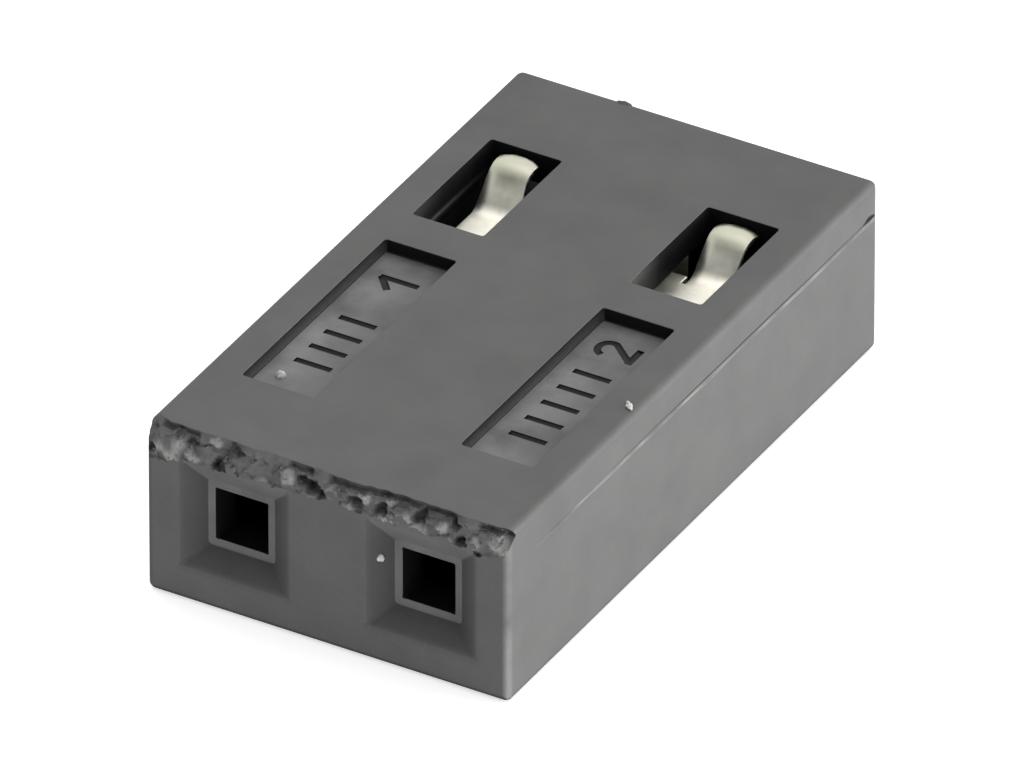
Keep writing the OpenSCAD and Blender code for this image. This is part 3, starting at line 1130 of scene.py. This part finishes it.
def speckTree():
    group, given = newTree("specks", {"Roughness": "Float", "Lump Size": "Float"})

    def storedVector(name):
        return addNode(group, "GeometryNodeInputNamedAttribute", {"Name": name},
                       data_type="FLOAT_VECTOR").outputs["Attribute"]

    grain = addNode(group, "GeometryNodeMeshIcoSphere", {
        "Radius": 1.0, "Subdivisions": specks["subdivisions"]})
    placed = addNode(group, "GeometryNodeInstanceOnPoints", {
        "Points": given["Geometry"], "Instance": grain.outputs["Mesh"],
        "Scale": storedVector("spread"), "Rotation": storedVector("turn")})
    often = calculate(group, "DIVIDE", 1.0, given["Lump Size"])
    lumps = addNode(group, "ShaderNodeTexNoise", {"Scale": often, "Detail": specks["lumpDetail"]})
    middleTone = (0.5, 0.5, 0.5)
    shift = addNode(group, "ShaderNodeVectorMath", {0: lumps.outputs["Color"], 1: middleTone},
                    operation="SUBTRACT")
    scaled = addNode(group, "ShaderNodeVectorMath", {0: shift.outputs["Vector"], "Scale": given["Roughness"]},
                     operation="SCALE")
    rough = addNode(group, "GeometryNodeSetPosition", {
        "Geometry": realised(group, placed.outputs["Instances"]), "Offset": scaled.outputs["Vector"]})
    return endTree(group, rough.outputs["Geometry"], given["Material"])


def buildSpecks():
    mesh = bpy.data.meshes.new("specks")
    mesh.from_pydata([place for place, size, angle in specks["grains"]], [], [])
    for name in ("spread", "turn"):
        mesh.attributes.new(name, "FLOAT_VECTOR", "POINT")
    for index, (place, size, angle) in enumerate(specks["grains"]):
        mesh.attributes["spread"].data[index].vector = size
        mesh.attributes["turn"].data[index].vector = (0, 0, math.radians(angle))
    grains = makeObject("specks", mesh)
    addTree(grains, speckTree(), {
        "Roughness": specks["roughness"], "Lump Size": specks["lumpSize"], "Material": dust})
    settle(grains)
    grains.data.shade_smooth()
    return grains


def buildHousing():
    h = housing
    shell = roundedBlock()
    combine(shell, [*(seamRidge(side) for side in sides), gateStub()], "UNION")
    group = strokeTree()
    levels = [chamberTop + cutters["levelPitch"] * k for k in range(1, cutters["wallLevels"] + 1)]
    cuts = [tornCutter(), backWell("slot", 0, h["pinPitch"], chamberFloor, chamberFloor + h["slotHeight"],
                                   backY - h["slotFront"], h["slotCorner"])]
    for side in sides:
        cuts += [
            seamGroove(side),
            pinEntry(side),
            backWell("chamber", side * pinX, h["chamberWidth"], chamberFloor, chamberTop,
                     frontY + h["frontWall"], h["chamberCorner"]),
            roofWell("window", side, windowStart, windowEnd, chamberTop - cutters["windowSink"], 0.0,
                     levels=levels),
            roofWell("pad", side, padStart, padEnd, padFloor, h["padEase"], insets=cutters["padInsets"]),
            *padStrokes(side, group),
        ]
    combine(shell, cuts, "DIFFERENCE")
    splitWalls(shell.data)
    smooth(shell, h["smoothAngle"])
    markShadeLightAndWear(shell.data)
    chips = buildFlakes(shell)
    grains = buildSpecks()
    handIn(shell, "housing")
    handIn(chips)
    handIn(grains)
    print("housing made:", len(shell.data.polygons), "faces, chips", len(chips.data.polygons))


buildHousing()


contactLow, contactHigh = [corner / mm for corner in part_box("shorting_contact")]

# Values by side are for the left leg, -1, and the right one, 1. The crown is given as distance from a
# tongue's edge and dip
contact = {
    "thickness": 0.15,
    "foldRadius": 0.1,
    "foldSteps": 8,
    "sidePlay": 0.04,
    "tipPlay": 1.0,
    "beamWidth": 0.8,
    "beamAngle": 11,
    "beamRadius": 0.3,
    "gripGap": 0.5,
    "tipLength": 0.34,
    "tipAngle": 28,
    "bridgeHeight": 1.1,
    "tongueWidth": 0.48,
    "tongueSlit": 0.05,
    "slitStart": 0.9,
    "shoulder": 1.05,
    "tongueAngle": 46,
    "footRadius": 0.3,
    "crestRadius": 0.2,
    "endAngle": 26,
    "endAngles": {-1: 14, 1: 26},
    "endLength": 0.05,
    "endCorner": 0.05,
    "crown": ((0.0, 0.045), (0.07, 0.016), (0.15, 0.0)),
    "crownFade": 0.3,
    "flare": {-1: 0.06, 1: 0.0},
    "flareLow": 0.2,
    "flareHigh": 0.25,
    "lift": {-1: 0.05, 1: 0.02},
    "crestDrop": 0.05,
    "tonguePlay": 0.06,
    "turnStep": 7,
    "weld": 1e-4,
    "edgeEase": 0.055,
    "edgeSegments": 4,
    "edgeAngle": 40,
    "smoothAngle": 50,
}

thick = contact["thickness"]
floorZ = contactLow.z + thick / 2
plateZ = 2 * pinZ - floorZ
legOuter = contactHigh.x
legInner = pinX - housing["chamberWidth"] / 2 + contact["sidePlay"] + thick / 2
fold = contact["foldRadius"] + thick / 2
foldOut = contact["foldRadius"] + thick
bridgeFoot = contactHigh.y - foldOut
tongueIn = legOuter - contact["tongueWidth"]
tongueStart = windowStart + contact["slitStart"]
shoulderY = windowStart + contact["shoulder"]


# Middle line of a bent strip: each step is a straight length, then a bend with its middle radius
def bentLine(start, steps):
    s, z = start
    heading = 0.0
    line = [(s, z)]
    for straight, angle, radius in steps:
        s += straight * math.cos(heading)
        z += straight * math.sin(heading)
        if straight > 0:
            line.append((s, z))
        turn = math.copysign(radius, angle)
        middle = (s - turn * math.sin(heading), z + turn * math.cos(heading))
        count = math.ceil(abs(angle) / contact["turnStep"])
        for k in range(1, count + 1):
            a = heading + math.radians(angle) * k / count
            s, z = middle[0] + turn * math.sin(a), middle[1] - turn * math.cos(a)
            line.append((s, z))
        heading += math.radians(angle)
    return line


# Places across a leg: its inner edge, the slit beside its tongue, then the tongue's own columns
def acrossLeg(side):
    c = contact
    tongueEdge = tongueIn - c["flare"][side]
    near = [tongueEdge + d for d, dip in c["crown"]]
    far = [legOuter - d for d, dip in reversed(c["crown"])]
    return [pinX - c["beamWidth"] / 2, tongueEdge - c["tongueSlit"], *near, *far]


# Folded leg seen on its end: floor, inner wall and top plate
def legOutline(flats):
    steps = contact["foldSteps"]
    arc = [math.radians(90) * k / steps for k in range(steps + 1)]
    low = [(x, floorZ) for x in reversed(flats)]
    low += [(legInner + fold - fold * math.sin(a), floorZ + fold - fold * math.cos(a)) for a in arc]
    return low + [(x, 2 * pinZ - z) for x, z in reversed(low)]


# Where the top plate ends in front, and the middle line of the beam that goes on from there to its tip,
# drawn along -Y
def beamLine():
    c = contact
    bend = c["beamRadius"] + thick / 2
    lean, tip = math.radians(c["beamAngle"]), math.radians(c["tipAngle"])
    fall = (plateZ - floorZ + thick) / 2 - thick - c["gripGap"] / 2
    run = (fall - 2 * bend * (1 - math.cos(lean))) / math.sin(lean)
    reach = 2 * bend * math.sin(lean) + run * math.cos(lean)
    tipReach = (bend + thick / 2) * math.sin(tip) + c["tipLength"] * math.cos(tip)
    legFront = frontY + housing["frontWall"] + c["tipPlay"] + tipReach + reach
    return legFront, bentLine((-legFront, plateZ), [
        (0, -c["beamAngle"], bend),
        (run, c["beamAngle"] + c["tipAngle"], bend),
        (c["tipLength"], 0, bend)])


# Middle line of a tongue: it climbs from the plate to its crest, then turns down behind it
def tongueLine(side):
    c = contact
    footBend, crestBend = c["footRadius"] + thick / 2, c["crestRadius"] + thick / 2
    climb, drop = math.radians(c["tongueAngle"]), math.radians(c["endAngle"])
    rise = topZ - c["crestDrop"] - thick / 2 - plateZ
    run = (rise - (footBend + crestBend) * (1 - math.cos(climb))) / math.sin(climb)
    reach = (footBend + crestBend) * math.sin(climb) + run * math.cos(climb)
    tail = (crestBend + thick / 2) * math.sin(drop) + c["endLength"] * math.cos(drop)
    lead = windowEnd - c["tonguePlay"] - tail - reach - tongueStart
    more = c["lift"][side] / math.sin(climb)
    return bentLine((tongueStart, plateZ), [
        (lead - more * math.cos(climb), c["tongueAngle"], footBend),
        (run + more, -c["tongueAngle"] - c["endAngles"][side], crestBend),
        (c["endLength"], 0, crestBend)])


# Rows across a tongue. Its long edges are drawn down a little, and one tongue is wider at its foot
def tongueRows(side):
    c = contact
    line = tongueLine(side)
    last = len(line) - 1
    rows = []
    for k, (y, z) in enumerate(line):
        (y0, z0), (y1, z1) = line[max(k - 1, 0)], line[min(k + 1, last)]
        slope = math.atan2(z1 - z0, y1 - y0)
        share = ramp(y, tongueStart, tongueStart + c["crownFade"])
        wide = tongueIn - c["flare"][side] * (1 - ramp(z, plateZ + c["flareLow"], topZ - c["flareHigh"]))
        inset = c["endCorner"] if k == last else 0.0
        places = [(wide + inset + d, dip) for d, dip in c["crown"]]
        places += [(legOuter - inset - d, dip) for d, dip in reversed(c["crown"])]
        rows.append([(side * x, y + share * dip * math.sin(slope), z - share * dip * math.cos(slope))
                     for x, dip in places])
    return rows


def addPatch(bm, rows):
    grid = [[bm.verts.new(p) for p in row] for row in rows]
    for near, far in zip(grid, grid[1:]):
        for i in range(len(near) - 1):
            bm.faces.new((near[i], near[i + 1], far[i + 1], far[i]))


def addLeg(bm, side):
    flats = acrossLeg(side)
    outline = legOutline(flats)
    slit = len(outline) - len(flats) + 1
    legFront, beam = beamLine()
    for points, start, end in ((outline, legFront, tongueStart), (outline[:slit + 1], tongueStart, shoulderY),
                               (outline[:slit], shoulderY, windowEnd)):
        addPatch(bm, [[(side * x, y, z) for x, z in points] for y in (start, end)])
    addPatch(bm, tongueRows(side))
    # Both beams, and the strip of floor that leads to the bridge, stop short of the leg's outer edge
    narrow = flats[:-1]
    addPatch(bm, [[(side * x, -s, z) for x in narrow] for s, z in beam])
    addPatch(bm, [[(side * x, -s, 2 * pinZ - z) for x in narrow] for s, z in beam])
    addPatch(bm, [[(side * x, y, floorZ) for x in narrow] for y in (windowEnd, bridgeFoot)])


def addBridge(bm):
    span = [-x for x in reversed(acrossLeg(-1))] + acrossLeg(1)
    upright = bentLine((bridgeFoot, floorZ), [(0, 90, fold), (contact["bridgeHeight"] - foldOut, 0, fold)])
    addPatch(bm, [[(x, y, z) for x in span] for y, z in upright])


def buildContact():
    c = contact
    bm = bmesh.new()
    for side in sides:
        addLeg(bm, side)
    addBridge(bm)
    bmesh.ops.remove_doubles(bm, verts=bm.verts, dist=c["weld"])
    bmesh.ops.recalc_face_normals(bm, faces=bm.faces)
    mesh = bpy.data.meshes.new("contact_strip")
    bm.to_mesh(mesh)
    bm.free()
    strip = makeObject("contact_strip", mesh, tin)
    solid = strip.modifiers.new("thickness", "SOLIDIFY")
    solid.thickness = thick
    solid.offset = 0
    solid.use_even_offset = True
    bevel = strip.modifiers.new("sheared edges", "BEVEL")
    bevel.width = c["edgeEase"]
    bevel.segments = c["edgeSegments"]
    bevel.limit_method = "ANGLE"
    bevel.angle_limit = math.radians(c["edgeAngle"])
    settle(strip)
    smooth(strip, c["smoothAngle"])
    handIn(strip, "shorting_contact")
    print("contact made:", len(strip.data.polygons), "faces")


buildContact()


# The floor's size is in metres, its drop and its cloud are in mm. The spans and heights of the lights are
# parts of a unit direction
stageSet = {
    "floorSize": 1.2,
    "floorDrop": 0.002,
    "floorTones": (grey(0.74), grey(0.76)),
    "cloudSize": 40.0,
    "cloudDetail": 2.0,
    "floorRoughness": 0.8,
    "floorSpecular": 0.2,
    "floorGlow": 0.6,
    "front": 0.25,
    "back": 1.2,
    "backSpan": (-0.35, 0.4),
    "backLow": 0.45,
    "backHeight": (0, 0.35),
    "zenith": 0.55,
    "zenithHeight": (0.75, 0.95),
    "flank": 1.1,
    "flankSpan": (0.47, 0.66),
    "flankHeight": (0.22, 0.42),
    "sideGlow": 11.0,
    "sideTurn": 25,
    "sideSpan": (0.35, 0.9),
    "sideHeight": (0.1, 0.32),
}


def paleFloor():
    s = stageSet
    material, tree, shader, place = newMaterial("pale_floor")
    cloud = grainNoise(tree, place, s["cloudSize"], s["cloudDetail"])
    feed(tree, shader, {
        "Base Color": mixColour(tree, cloud, *s["floorTones"]),
        "Roughness": s["floorRoughness"],
        "Specular IOR Level": s["floorSpecular"],
        "Emission Color": grey(1.0),
        "Emission Strength": s["floorGlow"]})
    return material


# Light from all round: dim in front, bright behind, overhead and high at both sides, with a low wide glow
# on the right
def studioLight(tree):
    s = stageSet
    towards = addNode(tree, "ShaderNodeTexCoord").outputs["Generated"]
    axes = addNode(tree, "ShaderNodeSeparateXYZ", {"Vector": towards}).outputs

    def eased(value, span, low, high):
        return remap(tree, value, *span, low, high, "SMOOTHSTEP")

    rear = calculate(tree, "MULTIPLY", eased(axes["Y"], s["backSpan"], 0, s["back"]),
                     eased(axes["Z"], s["backHeight"], s["backLow"], 1))
    sky = calculate(tree, "ADD", rear, s["front"])
    sky = calculate(tree, "ADD", sky, eased(axes["Z"], s["zenithHeight"], 0, s["zenith"]))
    sideways = calculate(tree, "ABSOLUTE", axes["X"])
    flank = calculate(tree, "MULTIPLY", eased(sideways, s["flankSpan"], 0, s["flank"]),
                      eased(axes["Z"], s["flankHeight"], 0, 1))
    sky = calculate(tree, "MAXIMUM", sky, flank)
    turn = math.radians(s["sideTurn"])
    facing = addNode(tree, "ShaderNodeVectorMath", {
        0: towards, 1: (math.cos(turn), math.sin(turn), 0)}, operation="DOT_PRODUCT").outputs["Value"]
    glow = calculate(tree, "MULTIPLY", eased(facing, s["sideSpan"], 0, s["sideGlow"]),
                     eased(axes["Z"], s["sideHeight"], 1, 0))
    feed(tree, tree.nodes["Background"], {"Strength": calculate(tree, "ADD", sky, glow), "Color": grey(1.0)})


def buildStage():
    half = stageSet["floorSize"] / 2
    level = -stageSet["floorDrop"] * mm
    corners = [(x * half, y * half, level) for x, y in ((-1, -1), (1, -1), (1, 1), (-1, 1))]
    floor = makeObject("floor", makeMesh("floor", corners, [(0, 1, 2, 3)]), paleFloor())
    world = bpy.data.worlds.new("studio")
    world.use_nodes = True
    scene.world = world
    studioLight(world.node_tree)
    scene.view_settings.view_transform = "Standard"


buildStage()

# The lens is in mm and the clip distances in metres, and the image's size and centre are in pixels
cameraSet = {
    "azimuth": 29.89,
    "elevation": 33.44,
    "pixelsPerMm": 84.23,
    "lens": 1000.0,
    "clip": (0.01, 2.0),
    "imageWidth": 1024,
    "imageHeight": 768,
    "centrePixel": (514.3, 382.9),
}


def buildCamera():
    c = cameraSet
    data = bpy.data.cameras.new("camera")
    data.lens = c["lens"]
    data.clip_start, data.clip_end = c["clip"]
    azimuth, elevation = math.radians(c["azimuth"]), math.radians(c["elevation"])
    back = Vector((math.sin(azimuth) * math.cos(elevation), -math.cos(azimuth) * math.cos(elevation),
                   math.sin(elevation)))
    right = Vector((math.cos(azimuth), math.sin(azimuth), 0))
    up = back.cross(right)
    distance = c["lens"] * c["imageWidth"] / (c["pixelsPerMm"] * data.sensor_width)
    u, v = c["centrePixel"]
    aim = Vector((0, 0, topZ / 2))
    aim -= right * (u - c["imageWidth"] / 2) / c["pixelsPerMm"]
    aim += up * (v - c["imageHeight"] / 2) / c["pixelsPerMm"]
    camera = bpy.data.objects.new("camera", data)
    camera.location = (aim + back * distance) * mm
    camera.rotation_euler = (-back).to_track_quat("-Z", "Y").to_euler()
    scene.collection.objects.link(camera)
    scene.camera = camera


buildCamera()
print("stage and camera set")
